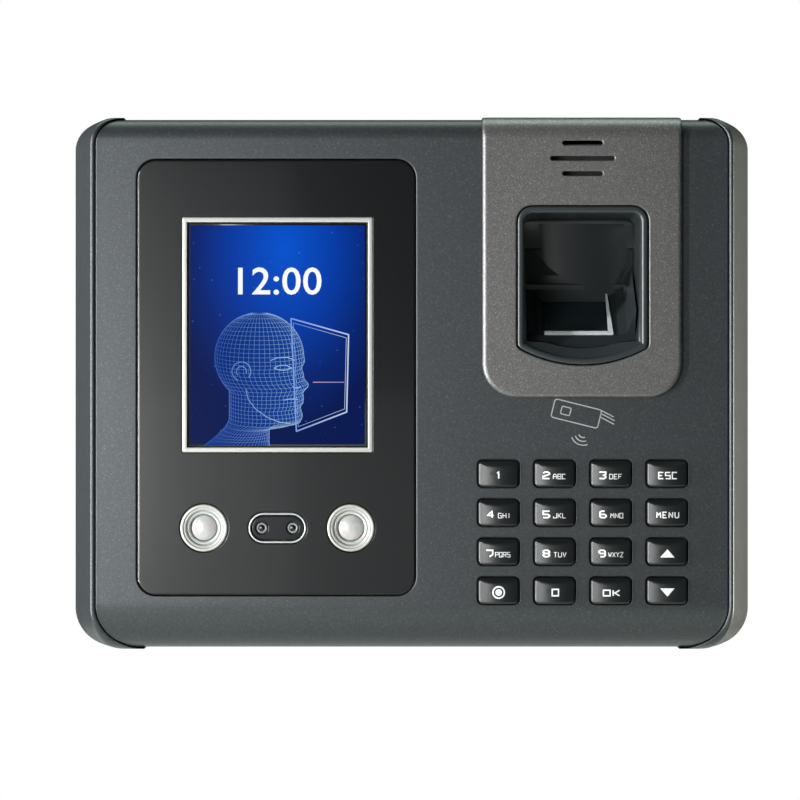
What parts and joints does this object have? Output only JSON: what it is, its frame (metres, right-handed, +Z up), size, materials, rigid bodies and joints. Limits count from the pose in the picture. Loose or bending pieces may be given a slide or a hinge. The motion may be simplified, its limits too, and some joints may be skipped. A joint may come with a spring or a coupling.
{
  "type": "fingerprint scanner terminal",
  "caption": "Wall terminal with a colour display, a camera between two lamps, a finger well with a slanted sensor window, a card reader and a keypad of crowned press keys.",
  "frame": {"origin": "centre of the wall plate's back face, on the wall", "axes": "+X to the right of a person facing the terminal, +Z up, the front faces -Y, +Y into the wall"},
  "size_m": [0.1784, 0.0348, 0.1391],
  "materials": {
    "body_paint": "satin charcoal metallic paint on moulded ABS, fine sparkle",
    "bezel_paint": "satin brown-grey metallic paint on moulded ABS",
    "gloss_black": "polished near-black",
    "silver_trim": "bright, lightly polished",
    "display_glass": "lit blue picture under smooth glass",
    "lamp_lens": "frosted clear dome",
    "camera_glass": "dark coated glass",
    "sensor_glass": "smooth coated prism face",
    "dark_plastic": "fine moulded texture",
    "rubber": "matt silicone",
    "circuit_board": "solder mask over copper tracks",
    "cell_wrap": "shrink wrap",
    "flex_film": "amber film over copper tracks",
    "tinned_steel": "tinned sheet",
    "zinc_steel": "zinc plated"
  },
  "bodies": {
    "housing": {"rear_casing": "body_paint", "front_cover": "body_paint", "sensor_bezel": "bezel_paint", "window_panel": "gloss_black", "sensor_well": "gloss_black", "display_border": "silver_trim", "lamp_left_bezel": "silver_trim", "lamp_right_bezel": "silver_trim", "camera_ring": "silver_trim", "display_module": "display_glass", "lamp_left_lens": "lamp_lens", "lamp_right_lens": "lamp_lens", "camera_glass": "camera_glass", "camera_lens_left": "camera_glass", "camera_lens_right": "camera_glass", "sensor_prism": "sensor_glass", "sensor_module": "dark_plastic", "speaker": "dark_plastic", "power_socket": "dark_plastic", "keypad_mat": "rubber", "lamp_board": "circuit_board", "keypad_board": "circuit_board", "antenna_board": "circuit_board", "main_board": "circuit_board", "battery_pack": "cell_wrap", "display_cable": "flex_film", "keypad_cable": "flex_film", "network_socket": "tinned_steel", "usb_socket": "tinned_steel", "wall_plate": "zinc_steel", "plate_screw": "zinc_steel", "case_screw_1": "zinc_steel", "case_screw_2": "zinc_steel", "case_screw_3": "zinc_steel", "case_screw_4": "zinc_steel", "board_screw_1": "zinc_steel", "board_screw_2": "zinc_steel", "board_screw_3": "zinc_steel", "board_screw_4": "zinc_steel"},
    "key_1": {"key_1": "gloss_black"},
    "key_2": {"key_2": "gloss_black"},
    "key_3": {"key_3": "gloss_black"},
    "key_esc": {"key_esc": "gloss_black"},
    "key_4": {"key_4": "gloss_black"},
    "key_5": {"key_5": "gloss_black"},
    "key_6": {"key_6": "gloss_black"},
    "key_menu": {"key_menu": "gloss_black"},
    "key_7": {"key_7": "gloss_black"},
    "key_8": {"key_8": "gloss_black"},
    "key_9": {"key_9": "gloss_black"},
    "key_up": {"key_up": "gloss_black"},
    "key_power": {"key_power": "gloss_black"},
    "key_0": {"key_0": "gloss_black"},
    "key_ok": {"key_ok": "gloss_black"},
    "key_down": {"key_down": "gloss_black"}
  },
  "joints": [
    {"name": "key_1_press", "type": "slide", "parent": "housing", "child": "key_1", "axis": [0, 1, 0], "range_m": [0, 0.0012], "stiffness_N_per_m": 300, "springref_m": -0.002},
    {"name": "key_2_press", "type": "slide", "parent": "housing", "child": "key_2", "axis": [0, 1, 0], "range_m": [0, 0.0012], "stiffness_N_per_m": 300, "springref_m": -0.002},
    {"name": "key_3_press", "type": "slide", "parent": "housing", "child": "key_3", "axis": [0, 1, 0], "range_m": [0, 0.0012], "stiffness_N_per_m": 300, "springref_m": -0.002},
    {"name": "key_esc_press", "type": "slide", "parent": "housing", "child": "key_esc", "axis": [0, 1, 0], "range_m": [0, 0.0012], "stiffness_N_per_m": 300, "springref_m": -0.002},
    {"name": "key_4_press", "type": "slide", "parent": "housing", "child": "key_4", "axis": [0, 1, 0], "range_m": [0, 0.0012], "stiffness_N_per_m": 300, "springref_m": -0.002},
    {"name": "key_5_press", "type": "slide", "parent": "housing", "child": "key_5", "axis": [0, 1, 0], "range_m": [0, 0.0012], "stiffness_N_per_m": 300, "springref_m": -0.002},
    {"name": "key_6_press", "type": "slide", "parent": "housing", "child": "key_6", "axis": [0, 1, 0], "range_m": [0, 0.0012], "stiffness_N_per_m": 300, "springref_m": -0.002},
    {"name": "key_menu_press", "type": "slide", "parent": "housing", "child": "key_menu", "axis": [0, 1, 0], "range_m": [0, 0.0012], "stiffness_N_per_m": 300, "springref_m": -0.002},
    {"name": "key_7_press", "type": "slide", "parent": "housing", "child": "key_7", "axis": [0, 1, 0], "range_m": [0, 0.0012], "stiffness_N_per_m": 300, "springref_m": -0.002},
    {"name": "key_8_press", "type": "slide", "parent": "housing", "child": "key_8", "axis": [0, 1, 0], "range_m": [0, 0.0012], "stiffness_N_per_m": 300, "springref_m": -0.002},
    {"name": "key_9_press", "type": "slide", "parent": "housing", "child": "key_9", "axis": [0, 1, 0], "range_m": [0, 0.0012], "stiffness_N_per_m": 300, "springref_m": -0.002},
    {"name": "key_up_press", "type": "slide", "parent": "housing", "child": "key_up", "axis": [0, 1, 0], "range_m": [0, 0.0012], "stiffness_N_per_m": 300, "springref_m": -0.002},
    {"name": "key_power_press", "type": "slide", "parent": "housing", "child": "key_power", "axis": [0, 1, 0], "range_m": [0, 0.0012], "stiffness_N_per_m": 300, "springref_m": -0.002},
    {"name": "key_0_press", "type": "slide", "parent": "housing", "child": "key_0", "axis": [0, 1, 0], "range_m": [0, 0.0012], "stiffness_N_per_m": 300, "springref_m": -0.002},
    {"name": "key_ok_press", "type": "slide", "parent": "housing", "child": "key_ok", "axis": [0, 1, 0], "range_m": [0, 0.0012], "stiffness_N_per_m": 300, "springref_m": -0.002},
    {"name": "key_down_press", "type": "slide", "parent": "housing", "child": "key_down", "axis": [0, 1, 0], "range_m": [0, 0.0012], "stiffness_N_per_m": 300, "springref_m": -0.002}
  ]
}
